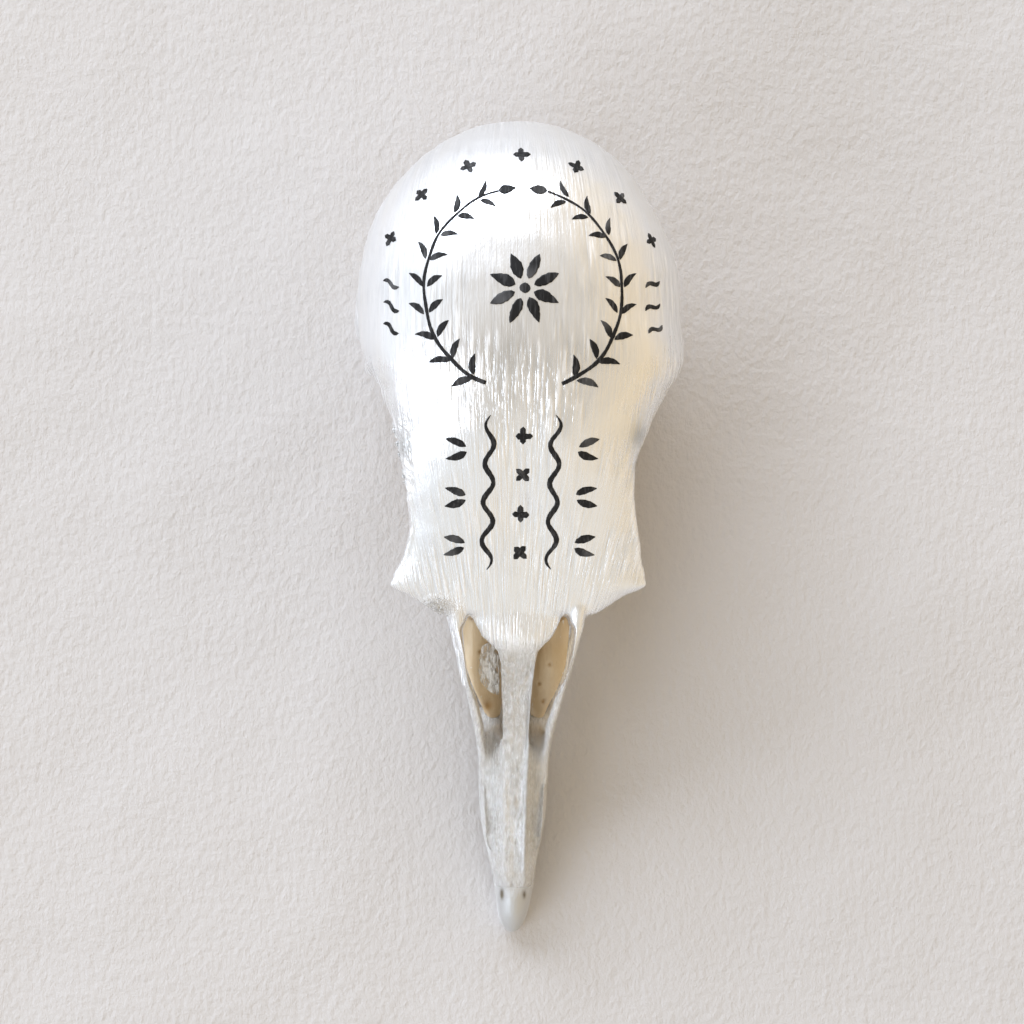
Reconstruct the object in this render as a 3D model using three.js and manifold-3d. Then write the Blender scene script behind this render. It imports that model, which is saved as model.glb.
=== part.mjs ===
// The skull of a dove without its lower jaw, cleaned and bare of its horny bill sheath, life size.
// Millimetres. +Z is up, the bill points along -Y, and the bird's left side is +X.
// The skull stands on the table at z = 0, on the tip of the bill and the feet of the two quadrates.
import * as THREE from "three";
import { mergeVertices } from "three/addons/utils/BufferGeometryUtils.js";
import Module from "manifold-3d";

const wasm = await Module();
wasm.setup();

// Driving dimensions
const LENGTH = 45;
const BRAINCASE_WIDTH = 17.9;
const CROWN_HEIGHT = 16.4;
const SEAM = 0.3; // the gap that neighbouring bones keep
const WELD = 0.001; // points closer than this are one point
const BLUNT = 0.05; // how far short of a point the bill tip and the back of the head stop

// Landmarks along the skull
const TIP_Y = -LENGTH / 2;
const REAR_Y = LENGTH / 2;
const HINGE_Y = TIP_Y + 0.402 * LENGTH; // where the bill bends against the forehead
const LACRIMAL_Y = TIP_Y + 0.44 * LENGTH; // front corner of the orbit
const WAIST_Y = TIP_Y + 0.54 * LENGTH; // narrowest place between the orbits
const SUTURE_Y = TIP_Y + 0.68 * LENGTH; // seam between frontals and braincase
const POSTORBITAL_Y = TIP_Y + 0.705 * LENGTH; // rear corner of the orbit
const WIDEST_Y = TIP_Y + 0.76 * LENGTH;
const NOSTRIL_FRONT_Y = TIP_Y + 0.22 * LENGTH;
const ORBIT_Y = TIP_Y + 0.576 * LENGTH;
const QUADRATE_Y = TIP_Y + 0.768 * LENGTH;

// Landmarks in height and width
const POLE_Z = 0.5 * CROWN_HEIGHT; // rearmost point of the braincase
const HINGE_Z = 0.457 * CROWN_HEIGHT;
const BASE_Z = 0.213 * CROWN_HEIGHT; // underside of the braincase
const ORBIT_Z = 0.36 * CROWN_HEIGHT;
const JUGAL_Z = 0.12 * CROWN_HEIGHT;
const HALF_WIDTH = BRAINCASE_WIDTH / 2;
const QUADRATE_X = 0.7 * HALF_WIDTH;

const SEPTUM_THICKNESS = 0.6;

const V = (x, y, z) => new THREE.Vector3(x, y, z);

// A smooth curve of value against place through [place, value] pairs, with no overshoot.
function through(pairs) {
  const slope = pairs.slice(1).map(([y, v], i) => (v - pairs[i][1]) / (y - pairs[i][0]));
  const tangent = pairs.map((_, i) => {
    if (i === 0) return slope[0];
    if (i === pairs.length - 1) return slope[i - 1];
    const [before, after] = [slope[i - 1], slope[i]];
    return before * after <= 0 ? 0 : (2 * before * after) / (before + after);
  });
  return (place) => {
    const last = pairs.length - 2;
    const i = Math.min(last, Math.max(0, pairs.findIndex(([y]) => y > place) - 1));
    const at = place >= pairs[last][0] ? last : i;
    const [[y0, v0], [y1, v1]] = [pairs[at], pairs[at + 1]];
    const t = THREE.MathUtils.clamp((place - y0) / (y1 - y0), 0, 1);
    const run = y1 - y0;
    return (
      v0 * (1 + 2 * t) * (1 - t) ** 2 +
      tangent[at] * run * t * (1 - t) ** 2 +
      v1 * t * t * (3 - 2 * t) +
      tangent[at + 1] * run * t * t * (t - 1)
    );
  };
}

// A quarter of an ellipse, 1 at the start and 0 at the end of a stretch.
const quarter = (share) => Math.sqrt(Math.max(0, 1 - share * share));

// Places from one end of a stretch to the other, evenly spaced.
const spread = (from, to, steps) =>
  Array.from({ length: steps + 1 }, (_, i) => from + ((to - from) * i) / steps);

// A closed manifold solid from a three.js geometry, turned so that its faces point out.
function solid(geometry) {
  const bare = new THREE.BufferGeometry();
  const flat = geometry.index ? geometry.toNonIndexed() : geometry;
  bare.setAttribute("position", flat.getAttribute("position"));
  const { index, attributes } = mergeVertices(bare, WELD);
  const points = attributes.position.array.map((v) => Math.round(v / WELD) * WELD);
  const corner = (i) => V().fromArray(points, 3 * i);
  const faces = [];
  let volume = 0;
  for (let i = 0; i < index.count; i += 3) {
    const [a, b, c] = index.array.slice(i, i + 3);
    if (a === b || b === c || c === a) continue;
    faces.push(a, b, c);
    volume += corner(a).dot(corner(b).cross(corner(c)));
  }
  if (volume < 0) faces.reverse();
  return new wasm.Manifold(
    new wasm.Mesh({
      numProp: 3,
      vertProperties: points,
      triVerts: new Uint32Array(faces),
    }),
  );
}

// The faces of a solid as a three.js geometry.
function skinOf(one) {
  const mesh = one.getMesh();
  const points = new Float32Array(mesh.numVert * 3);
  for (let i = 0; i < mesh.numVert; i++) {
    const start = i * mesh.numProp;
    points.set(mesh.vertProperties.subarray(start, start + 3), i * 3);
  }
  const geometry = new THREE.BufferGeometry();
  geometry.setAttribute("position", new THREE.BufferAttribute(points, 3));
  return geometry.setIndex(new THREE.BufferAttribute(mesh.triVerts, 1));
}

// A closed skin over rings of equal, even length. Each end is closed straight across.
function loft(rings) {
  const sides = rings[0].length;
  const half = sides / 2;
  const lastRing = (rings.length - 1) * sides;
  const faces = [];
  for (let k = 0; k < sides; k++) {
    const next = (k + 1) % sides;
    for (let r = 0; r < lastRing; r += sides) {
      faces.push(r + k, r + next, r + sides + k);
      faces.push(r + next, r + sides + next, r + sides + k);
    }
  }
  for (let k = 0; k < half; k++) {
    const [low, lower] = [(sides - k) % sides, sides - k - 1];
    if (k > 0) faces.push(k + 1, k, low);
    if (k > 0) faces.push(lastRing + k, lastRing + k + 1, lastRing + low);
    if (k < half - 1) faces.push(lower, k + 1, low);
    if (k < half - 1) faces.push(lastRing + k + 1, lastRing + lower, lastRing + low);
  }
  const geometry = new THREE.BufferGeometry().setFromPoints(rings.flat());
  geometry.setIndex(faces);
  return solid(geometry);
}

// A ring about a place: across and up give the ring's two half sizes as directions.
function ring(centre, across, up, sides) {
  return Array.from({ length: sides }, (_, k) => {
    const angle = (2 * Math.PI * k) / sides;
    return centre
      .clone()
      .addScaledVector(across, Math.cos(angle))
      .addScaledVector(up, Math.sin(angle));
  });
}

// A bone strut along a smooth path. Each stop is [x, y, z, half width, half height].
function strut(stops, sides = 10, steps = 4 * (stops.length - 1)) {
  const path = new THREE.CatmullRomCurve3(stops.map(([x, y, z]) => V(x, y, z)));
  const sizes = new THREE.CatmullRomCurve3(stops.map(([, , , wide, tall]) => V(wide, tall, 0)));
  const rings = spread(0, 1, steps).map((t) => {
    const along = path.getTangent(t);
    const up = Math.abs(along.z) > 0.85 ? V(0, 1, 0) : V(0, 0, 1);
    const across = along.clone().cross(up).normalize();
    const over = across.clone().cross(along);
    const size = sizes.getPoint(t);
    return ring(path.getPoint(t), across.multiplyScalar(size.x), over.multiplyScalar(size.y), sides);
  });
  return loft(rings);
}

// An ellipsoid with its half sizes as a vector.
function egg(centre, radii, wide = 24, tall = 16) {
  const sphere = new THREE.SphereGeometry(1, wide, tall).rotateX(Math.PI / 2);
  return solid(sphere.scale(...radii).translate(...centre));
}

// A box between two corners.
function block(low, high) {
  const [w, d, h] = high.map((v, i) => v - low[i]);
  const box = new THREE.BoxGeometry(w, d, h);
  return solid(box.translate(...low.map((v, i) => (v + high[i]) / 2)));
}

const joined = (...solids) => solids.reduce((all, next) => all.add(next));
const cut = (from, ...tools) => tools.reduce((left, tool) => left.subtract(tool), from);
const mirrored = (one) => solid(skinOf(one).scale(-1, 1, 1));
const shifted = (one, by) => solid(skinOf(one).translate(...by));
const bothSides = (one) => joined(one, mirrored(one));
const FAR = 2 * LENGTH;
const behind = (y) => block([-FAR, y, -FAR], [FAR, FAR, FAR]);
const before = (y) => block([-FAR, -FAR, -FAR], [FAR, y, FAR]);
const overTable = (one) => one.intersect(block([-FAR, -FAR, 0], [FAR, FAR, FAR]));

// Cuts a bone clear of its neighbours by the seam, towards the given directions.
function clearOf(one, neighbours, directions) {
  const tools = neighbours.flatMap((other) => [
    other,
    ...directions.map((d) => shifted(other, d.map((v) => v * SEAM))),
  ]);
  return cut(one, ...tools);
}

// The largest closed surface of a solid.
function mainBody(one) {
  const bodies = solid(skinOf(one)).decompose();
  return bodies.sort((a, b) => b.volume() - a.volume())[0];
}

// Outline of the roof of the skull
const roofHalfWidth = through([
  [HINGE_Y, 4.3],
  [HINGE_Y + 0.6, 5.4],
  [LACRIMAL_Y - 0.55, 6.5],
  [LACRIMAL_Y, 7.0],
  [LACRIMAL_Y + 0.5, 6.9],
  [LACRIMAL_Y + 1.3, 6.6],
  [WAIST_Y - 1.2, 6.32],
  [WAIST_Y + 0.6, 6.25],
  [WAIST_Y + 2.6, 6.65],
  [SUTURE_Y - 2.4, 6.95],
  [POSTORBITAL_Y - 1.3, 8.0],
  [POSTORBITAL_Y - 0.2, 8.6],
  [WIDEST_Y, HALF_WIDTH],
  [REAR_Y, HALF_WIDTH],
]);
const roofCrown = through([
  [HINGE_Y, HINGE_Z],
  [LACRIMAL_Y, 8.7],
  [WAIST_Y - 1.6, 10.8],
  [WAIST_Y + 1.4, 13.2],
  [ORBIT_Y + 2.6, 15.0],
  [POSTORBITAL_Y - 0.2, 16.1],
  [WIDEST_Y, CROWN_HEIGHT],
  [REAR_Y, CROWN_HEIGHT],
]);
const roofRim = through([
  [HINGE_Y, 6.95],
  [LACRIMAL_Y, 7.6],
  [WAIST_Y - 1.6, 9.6],
  [WAIST_Y + 1.4, 11.3],
  [ORBIT_Y + 2.1, 11.7],
  [POSTORBITAL_Y - 0.7, 10.9],
  [WIDEST_Y, 9.6],
  [REAR_Y, 9.6],
]);
const roofUnderside = through([
  [HINGE_Y, 6.25],
  [LACRIMAL_Y, 6.9],
  [WAIST_Y - 1.6, 8.6],
  [WAIST_Y + 0.4, 9.8],
  [ORBIT_Y - 0.2, 9.6],
  [ORBIT_Y + 1.2, 6.6],
  [ORBIT_Y + 2.8, 4.6],
  [WIDEST_Y, BASE_Z],
  [REAR_Y, BASE_Z],
]);

// One ring of the roof and braincase. Behind the widest place it shrinks towards the rear pole.
function vaultRing(y, sides) {
  const shrink = quarter(Math.max(0, (y - WIDEST_Y) / (REAR_Y - WIDEST_Y)));
  const inward = (z) => (y > WIDEST_Y ? POLE_Z + (z - POLE_Z) * shrink : z);
  const wide = roofHalfWidth(y) * shrink;
  const rim = inward(roofRim(y));
  const rise = inward(roofCrown(y)) - rim;
  const drop = rim - inward(roofUnderside(y));
  return Array.from({ length: sides }, (_, k) => {
    const angle = (2 * Math.PI * k) / sides;
    const side = Math.sin(angle);
    return V(wide * Math.cos(angle), y, rim + (side > 0 ? rise : drop) * side);
  });
}

// The closed skin of the roof and braincase, from the hinge of the bill to the back of the head
function vault(frontSteps, rearSteps, sides) {
  const run = REAR_Y - WIDEST_Y;
  const rear = spread(0, Math.asin(1 - BLUNT / run), rearSteps).map(
    (angle) => WIDEST_Y + run * Math.sin(angle),
  );
  const places = [...spread(HINGE_Y, WIDEST_Y, frontSteps), ...rear.slice(1)];
  return loft(places.map((y) => vaultRing(y, sides)));
}

const orbitHollow = egg(
  [0.74 * HALF_WIDTH, ORBIT_Y, ORBIT_Z],
  [0.72 * HALF_WIDTH, 0.122 * LENGTH, 0.27 * CROWN_HEIGHT],
  24,
  14,
);
const earHollow = egg(
  [0.88 * HALF_WIDTH, QUADRATE_Y + 2.6, 0.36 * CROWN_HEIGHT],
  [2.3, 2.3, 2.1],
  14,
  8,
);

// Skull roof and braincase in one, before it is parted.
const cranium = (() => {
  const shell = vault(22, 8, 36);
  const cerebellum = egg([0, REAR_Y - 2.5, POLE_Z + 0.3], [2.5, 2.4, 2.5], 16, 10);
  const basePlate = egg([0, QUADRATE_Y + 0.9, BASE_Z + 1.1], [4.3, 5.0, 1.75], 18, 10);
  const postorbital = strut(
    [
      [7.6, POSTORBITAL_Y + 1.0, 11.4, 0.8, 1.3],
      [8.05, POSTORBITAL_Y + 0.4, 9.4, 0.55, 1.0],
      [8.25, POSTORBITAL_Y - 0.2, 7.4, 0.38, 0.6],
      [8.1, POSTORBITAL_Y - 0.7, 5.9, 0.2, 0.25],
    ],
    8,
    8,
  );
  const zygomatic = strut(
    [
      [7.8, WIDEST_Y + 2.2, 8.4, 0.7, 1.1],
      [8.5, WIDEST_Y + 1.0, 7.8, 0.5, 0.9],
      [8.72, WIDEST_Y - 0.2, 6.9, 0.32, 0.6],
      [8.62, WIDEST_Y - 1.1, 5.9, 0.18, 0.28],
    ],
    8,
    8,
  );
  const temporalFossa = egg([HALF_WIDTH, WIDEST_Y - 0.5, 7.6], [1.0, 0.9, 1.6], 12, 8);
  const whole = joined(
    cut(joined(shell, cerebellum, basePlate), bothSides(temporalFossa)),
    bothSides(postorbital),
    bothSides(zygomatic),
  );
  return cut(whole, bothSides(orbitHollow), bothSides(earHollow));
})();

// Braincase, with the foramen magnum as a deep recess that faces down and back
const FORAMEN = { y: REAR_Y - 4.1, z: BASE_Z + 1.1, radius: 1.9, tilt: -1.05, depth: 4.5 };
const braincase = (() => {
  const bore = new THREE.CylinderGeometry(FORAMEN.radius, FORAMEN.radius, 2 * FORAMEN.depth, 20);
  bore.rotateX(FORAMEN.tilt).translate(0, FORAMEN.y, FORAMEN.z);
  const condyle = egg([0, FORAMEN.y - 1.9, FORAMEN.z - 1.2], [0.85, 0.75, 0.65], 12, 8);
  const closed = cranium.intersect(behind(SUTURE_Y + SEAM / 2));
  return joined(cut(closed, solid(bore)), condyle);
})();

// Frontals: the roof between the orbits, with a wedge that closes the front of the braincase
const frontals = cranium.intersect(before(SUTURE_Y - SEAM / 2));

// Lacrimals: the struts that hang from the front corner of each orbit
const lacrimal = clearOf(
  joined(
    strut([
      [5.9, LACRIMAL_Y - 0.1, 8.1, 0.75, 0.55],
      [5.5, LACRIMAL_Y - 0.3, 6.6, 0.6, 0.45],
      [4.9, LACRIMAL_Y - 0.4, 5.2, 0.45, 0.4],
      [4.3, LACRIMAL_Y - 0.2, 4.1, 0.3, 0.3],
    ]),
    strut([
      [5.0, LACRIMAL_Y - 0.4, 5.4, 0.35, 0.35],
      [3.6, LACRIMAL_Y - 0.3, 5.6, 0.35, 0.9],
      [1.6, LACRIMAL_Y - 0.1, 5.7, 0.35, 1.0],
      [0.9, LACRIMAL_Y, 5.7, 0.35, 0.8],
    ]),
  ),
  [frontals],
  [[0, 0, -1]],
);

// Interorbital septum, with its window and with the rod of the parasphenoid along its lower edge
const septum = (() => {
  const outline = new THREE.Shape();
  outline.moveTo(LACRIMAL_Y - 1.2, 4.2);
  outline.lineTo(LACRIMAL_Y - 0.9, 9);
  outline.lineTo(ORBIT_Y + 2.5, 15);
  outline.lineTo(SUTURE_Y + 1, 9);
  outline.lineTo(SUTURE_Y + 1, 4.0);
  outline.closePath();
  const window = new THREE.Path();
  window.absellipse(ORBIT_Y - 0.4, ORBIT_Z + 1.0, 1.7, 1.25, 0, 2 * Math.PI);
  const opticHole = new THREE.Path();
  opticHole.absellipse(ORBIT_Y + 2.55, ORBIT_Z - 0.1, 0.65, 0.6, 0, 2 * Math.PI);
  outline.holes.push(window, opticHole);
  const plate = new THREE.ExtrudeGeometry(outline, {
    depth: SEPTUM_THICKNESS,
    bevelEnabled: false,
    curveSegments: 16,
  });
  plate.translate(0, 0, -SEPTUM_THICKNESS / 2);
  const yzx = new THREE.Matrix4().makeBasis(V(0, 1, 0), V(0, 0, 1), V(1, 0, 0));
  const rostrum = strut([
    [0, SUTURE_Y + 1.4, 3.9, 1.2, 0.7],
    [0, ORBIT_Y + 1.0, 3.9, 0.75, 0.6],
    [0, WAIST_Y - 1.0, 4.1, 0.6, 0.5],
    [0, LACRIMAL_Y - 1.8, 4.4, 0.4, 0.35],
  ]);
  const whole = joined(solid(plate.applyMatrix4(yzx)), rostrum);
  return clearOf(whole, [frontals, braincase, lacrimal, mirrored(lacrimal)], [
    [0, 0, -1],
    [0, -1, 0],
    [1, 0, 0],
    [-1, 0, 0],
  ]);
})();

// Outline of the bill
const BILL_ROOT_Y = HINGE_Y - SEAM;
const billHalfWidth = through([
  [TIP_Y + 1.9, 0.9],
  [TIP_Y + 3, 1.07],
  [TIP_Y + 4.2, 1.33],
  [TIP_Y + 5.3, 1.62],
  [TIP_Y + 6.5, 1.85],
  [TIP_Y + 7.8, 1.94],
  [NOSTRIL_FRONT_Y, 1.97],
  [NOSTRIL_FRONT_Y + 1.4, 2.15],
  [NOSTRIL_FRONT_Y + 2.3, 2.42],
  [NOSTRIL_FRONT_Y + 4.4, 2.9],
  [BILL_ROOT_Y - 1.3, 3.42],
  [BILL_ROOT_Y, 3.95],
]);
const culmen = through([
  [TIP_Y, 0.75],
  [TIP_Y + 1, 1.95],
  [TIP_Y + 2.6, 2.75],
  [TIP_Y + 5, 3.2],
  [TIP_Y + 8, 3.65],
  [NOSTRIL_FRONT_Y + 1, 4.2],
  [NOSTRIL_FRONT_Y + 4, 5.3],
  [BILL_ROOT_Y - 1.4, 6.45],
  [BILL_ROOT_Y, HINGE_Z - 0.1],
]);
const tomium = through([
  [TIP_Y, 0.05],
  [TIP_Y + 2, 0.55],
  [TIP_Y + 5, 1.05],
  [NOSTRIL_FRONT_Y, 1.45],
  [BILL_ROOT_Y, JUGAL_Z],
]);

// Width of the bill out to its rounded tip.
const billWidthAt = (y) => {
  const fromTip = (y - TIP_Y) / 1.9;
  return fromTip < 1 ? billHalfWidth(TIP_Y + 1.9) * quarter(1 - fromTip) : billHalfWidth(y);
};

const ARCH_REAR_Y = NOSTRIL_FRONT_Y + 1.13;

// The closed front of the bill: an arch from edge to edge, hollow under the palate
function billArch() {
  const roofThickness = 0.75;
  const sides = 24;
  const places = [BLUNT, 0.25, 0.6, 1.1, 1.7, 2.4, ...spread(3.3, ARCH_REAR_Y - TIP_Y, 7)];
  return loft(
    places.map((fromTip) => {
      const y = TIP_Y + fromTip;
      const wide = billWidthAt(y);
      const edge = tomium(y);
      const rise = culmen(y) - 0.12 - edge;
      const hollowing = THREE.MathUtils.smoothstep(fromTip, 1.2, 6);
      const palate = hollowing * Math.max(0, rise - roofThickness);
      const belly = (1 - hollowing) * Math.min(0.6, edge + 0.1);
      return Array.from({ length: sides }, (_, k) => {
        const angle = (2 * Math.PI * k) / sides;
        const side = Math.sin(angle);
        const height = side > 0 ? rise * side ** 0.85 : -side * palate + side * belly;
        return V(wide * Math.cos(angle), y, edge + height);
      });
    }),
  );
}

// The strap of bone along the culmen, from the forehead to the arch; grow thickens it.
const ridge = (grow) =>
  strut(
    [
      [BILL_ROOT_Y + 0.35, 2.7],
      [BILL_ROOT_Y - 0.9, 2.1],
      [BILL_ROOT_Y - 2.0, 1.05],
      [BILL_ROOT_Y - 4.5, 0.84],
      [NOSTRIL_FRONT_Y + 1, 0.74],
      [TIP_Y + 6, 0.66],
      [TIP_Y + 3, 0.4],
    ].map(([y, wide]) => [0, y, culmen(y) - 0.3 - 0.1 / wide, wide + grow, 0.42 + grow]),
    12,
    16,
  );

// The nasal bars run down and forward from the corners of the forehead to the edges of the bill.
const nasalBar = (grow) =>
  strut(
    [
      [0.35, 6.9, 0.55, 0.55],
      [-1.6, 6.1, 0.34, 0.5],
      [-3.8, 4.95, 0.27, 0.5],
      [-6, 3.85, 0.3, 0.62],
      [-7.6, 3.05, 0.45, 0.75],
      [-9.2, 2.4, 0.4, 0.6],
    ].map(([back, z, wide, tall]) => {
      const y = BILL_ROOT_Y + back;
      return [billHalfWidth(y) - wide, y, z, wide + grow, tall + grow];
    }),
    10,
    14,
  );

const edgeBar = (grow) =>
  strut(
    [
      [-3.2, 0.4],
      [-5.5, 0.5],
      [-7.6, 0.6],
      [-9.6, 0.5],
    ].map(([back, tall]) => {
      const y = BILL_ROOT_Y + back;
      return [billHalfWidth(y) - 0.4, y, tomium(y) + 0.42, 0.33 + grow, tall + grow];
    }),
    8,
    9,
  );

const upperBill = (() => {
  const slit = egg([1.25, ARCH_REAR_Y, 4.2], [0.45, 1.1, 2.4], 12, 8);
  const furrow = strut(
    [0, 2, 3.6, 5.4].map((fore) => {
      const y = ARCH_REAR_Y - fore;
      return [1.32 - 0.03 * fore, y, culmen(y) - 0.1, 0.36 - 0.03 * fore, 0.8];
    }),
    8,
    8,
  );
  const bars = bothSides(joined(nasalBar(0), edgeBar(0)));
  const nerveHole = egg([0.62, TIP_Y + 2.35, 2.4], [0.14, 0.3, 0.5], 8, 6);
  const hollows = [slit, furrow, nerveHole].map(bothSides);
  const arch = cut(joined(billArch(), bars), ...hollows);
  return overTable(joined(arch, ridge(0)).intersect(before(BILL_ROOT_Y)));
})();

// Maxillopalatines: the spongy scrolls that show, unpainted, through the nostrils
const maxillopalatine = cut(
  strut(
    [
      [1.9, BILL_ROOT_Y - 0.5, 4.7, 0.75, 0.5],
      [1.95, BILL_ROOT_Y - 1.8, 4.2, 1.05, 0.75],
      [1.9, BILL_ROOT_Y - 3.4, 3.5, 1.05, 0.75],
      [1.65, BILL_ROOT_Y - 5.2, 2.9, 0.85, 0.6],
      [1.45, ARCH_REAR_Y + 0.5, 2.5, 0.5, 0.4],
    ],
    12,
    10,
  ),
  nasalBar(SEAM),
  edgeBar(SEAM),
  before(ARCH_REAR_Y + SEAM),
);

// Quadrates: a body with a neck up to the ear, a blade into the orbit and two knuckles below
const quadrate = clearOf(
  overTable(
    joined(
      strut(
        [
          [QUADRATE_X + 0.9, QUADRATE_Y + 1.7, 7.0, 0.75, 0.6],
          [QUADRATE_X + 0.6, QUADRATE_Y + 0.9, 5.4, 0.6, 0.6],
          [QUADRATE_X + 0.1, QUADRATE_Y + 0.2, 3.6, 0.85, 0.75],
          [QUADRATE_X, QUADRATE_Y, 1.6, 1.15, 0.9],
        ],
        10,
        9,
      ),
      strut(
        [
          [QUADRATE_X + 0.1, QUADRATE_Y + 0.3, 3.7, 0.5, 0.9],
          [QUADRATE_X - 1.0, QUADRATE_Y - 1.1, 4.6, 0.32, 0.8],
          [QUADRATE_X - 1.9, QUADRATE_Y - 2.3, 5.3, 0.28, 0.6],
          [QUADRATE_X - 2.6, QUADRATE_Y - 3.1, 5.9, 0.2, 0.3],
        ],
        8,
        8,
      ),
      egg([QUADRATE_X + 0.75, QUADRATE_Y + 0.3, 0.95], [0.75, 1.15, 1.05], 12, 8),
      egg([QUADRATE_X - 0.85, QUADRATE_Y - 0.4, 1.05], [0.7, 1.0, 1.15], 12, 8),
    ),
  ),
  [braincase],
  [[0, 0, -1]],
);

// Jugal bars: from the edge of the bill to the outside of each quadrate
const JUGAL_FRONT_Y = BILL_ROOT_Y - 3.0;
const jugalBar = clearOf(
  clearOf(
    strut(
      [
        [billHalfWidth(JUGAL_FRONT_Y) - 0.45, JUGAL_FRONT_Y - 0.6, JUGAL_Z + 0.35, 0.3, 0.4],
        [3.95, LACRIMAL_Y, JUGAL_Z, 0.26, 0.42],
        [5.15, ORBIT_Y - 0.6, JUGAL_Z - 0.05, 0.25, 0.36],
        [6.5, POSTORBITAL_Y - 1, JUGAL_Z + 0.1, 0.28, 0.36],
        [7.2, QUADRATE_Y - 0.4, JUGAL_Z + 0.2, 0.36, 0.45],
      ],
      8,
      14,
    ),
    [upperBill],
    [[0, 1, 0]],
  ),
  [quadrate],
  [[0, -1, 0]],
);

// Palatines: long flat strips under the palate
const palatine = clearOf(
  strut(
    [
      [0.95, BILL_ROOT_Y - 6.2, 1.6, 0.35, 0.27],
      [1.5, BILL_ROOT_Y - 1.5, 1.6, 0.45, 0.3],
      [2.0, WAIST_Y - 2.0, 1.75, 0.8, 0.32],
      [2.05, ORBIT_Y - 0.2, 2.0, 1.15, 0.34],
      [1.6, ORBIT_Y + 2.6, 2.4, 0.9, 0.34],
      [0.9, SUTURE_Y - 0.9, 2.7, 0.4, 0.3],
    ],
    10,
    18,
  ),
  [maxillopalatine, septum],
  [[0, 0, -1]],
);

// Pterygoids: short rods from the quadrates in to the rostrum
const pterygoid = clearOf(
  clearOf(
    strut(
      [
        [0.9, SUTURE_Y - 0.45, 2.6, 0.36, 0.3],
        [2.4, SUTURE_Y + 0.8, 2.35, 0.32, 0.38],
        [4.1, QUADRATE_Y - 1.2, 2.1, 0.38, 0.42],
        [5.6, QUADRATE_Y - 0.4, 2.0, 0.45, 0.45],
      ],
      8,
      8,
    ),
    [quadrate],
    [[-1, 0, 0]],
  ),
  [palatine, septum, braincase],
  [[0, 0, -1]],
);

// Finishes: brushed pearl paint outside, bare bone where no brush reached
const pearl = new THREE.MeshStandardMaterial({ color: 0xdedbd6, roughness: 0.38, metalness: 0.25 });
const bareBone = new THREE.MeshStandardMaterial({ color: 0xb6a27c, roughness: 0.6, metalness: 0 });

const skull = new THREE.Group();

function place(name, one, material) {
  const geometry = skinOf(mainBody(one));
  geometry.computeVertexNormals();
  const mesh = new THREE.Mesh(geometry, material);
  mesh.name = name;
  skull.add(mesh);
}

function placePair(name, left, material) {
  place(`${name}_left`, left, material);
  place(`${name}_right`, mirrored(left), material);
}

place("braincase", braincase, pearl);
place("frontals", frontals, pearl);
place("interorbital_septum", septum, bareBone);
place("upper_bill", upperBill, pearl);
placePair("lacrimal", lacrimal, pearl);
placePair("maxillopalatine", maxillopalatine, bareBone);
placePair("jugal_bar", jugalBar, pearl);
placePair("quadrate", quadrate, pearl);
placePair("palatine", palatine, pearl);
placePair("pterygoid", pterygoid, pearl);

export default skull;
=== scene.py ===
"""A dove's skull, bare of its lower jaw, under brushed pearl paint with marks in black ink."""

import math
import random

import bmesh
import bpy
import numpy as np
from bpy.props import FloatProperty, FloatVectorProperty, IntProperty, PointerProperty
from mathutils import Euler, Matrix, Vector, noise
from mathutils.bvhtree import BVHTree


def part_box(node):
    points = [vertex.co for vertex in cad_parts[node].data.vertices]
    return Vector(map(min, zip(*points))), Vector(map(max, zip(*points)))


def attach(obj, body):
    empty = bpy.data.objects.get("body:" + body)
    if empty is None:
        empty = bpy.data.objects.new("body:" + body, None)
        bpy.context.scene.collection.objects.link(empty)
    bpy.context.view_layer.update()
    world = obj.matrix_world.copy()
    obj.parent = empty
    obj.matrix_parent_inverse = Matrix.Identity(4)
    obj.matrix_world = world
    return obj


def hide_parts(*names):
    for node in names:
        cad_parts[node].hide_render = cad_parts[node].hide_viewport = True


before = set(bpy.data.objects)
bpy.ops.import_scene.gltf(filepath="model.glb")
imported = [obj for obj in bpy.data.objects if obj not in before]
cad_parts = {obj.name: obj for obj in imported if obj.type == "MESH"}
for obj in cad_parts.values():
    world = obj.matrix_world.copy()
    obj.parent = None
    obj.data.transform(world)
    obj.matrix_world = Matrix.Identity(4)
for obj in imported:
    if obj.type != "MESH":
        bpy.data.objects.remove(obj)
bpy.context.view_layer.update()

bl_info = {
    "name": "Painted Dove Skull",
    "version": (1, 0, 0),
    "blender": (4, 5, 0),
    "location": "3D View > Sidebar > Dove Skull",
    "description": "Dresses a packed dove skull as bone under brushed pearl paint with ink marks",
    "category": "Object",
}

MM = 0.001

# Landmarks, from the frame
BILL_ROOT_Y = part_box("upper_bill")[1].y
ROOF_FRONT_Y, ROOF_REAR_Y = (corner.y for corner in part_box("frontals"))
REAR_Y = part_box("braincase")[1].y
SEAM = ROOF_FRONT_Y - BILL_ROOT_Y
EDGE = 0.01 * MM

# The ball that the dome of the skull comes near to, for ink that wraps round it
DOME_CENTRE = Vector((0, 11.7, 7.2)) * MM
DOME_RADIUS = 9.2 * MM


class BoneSizes(bpy.types.PropertyGroup):
    """How finely the bone is modelled"""

    coarse: FloatProperty(
        name="Coarse Grain", description="Cell size for the smooth vault of the skull",
        default=0.16 * MM, unit="LENGTH", precision=5,
    )
    fine: FloatProperty(
        name="Fine Grain", description="Cell size for the fused bone as a whole",
        default=0.095 * MM, unit="LENGTH", precision=5,
    )
    slender: FloatProperty(
        name="Slender Grain", description="Cell size for the small loose bones",
        default=0.09 * MM, unit="LENGTH", precision=5,
    )
    faces: IntProperty(
        name="Faces", description="Most triangles in the fused bone", default=185000,
    )


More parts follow.
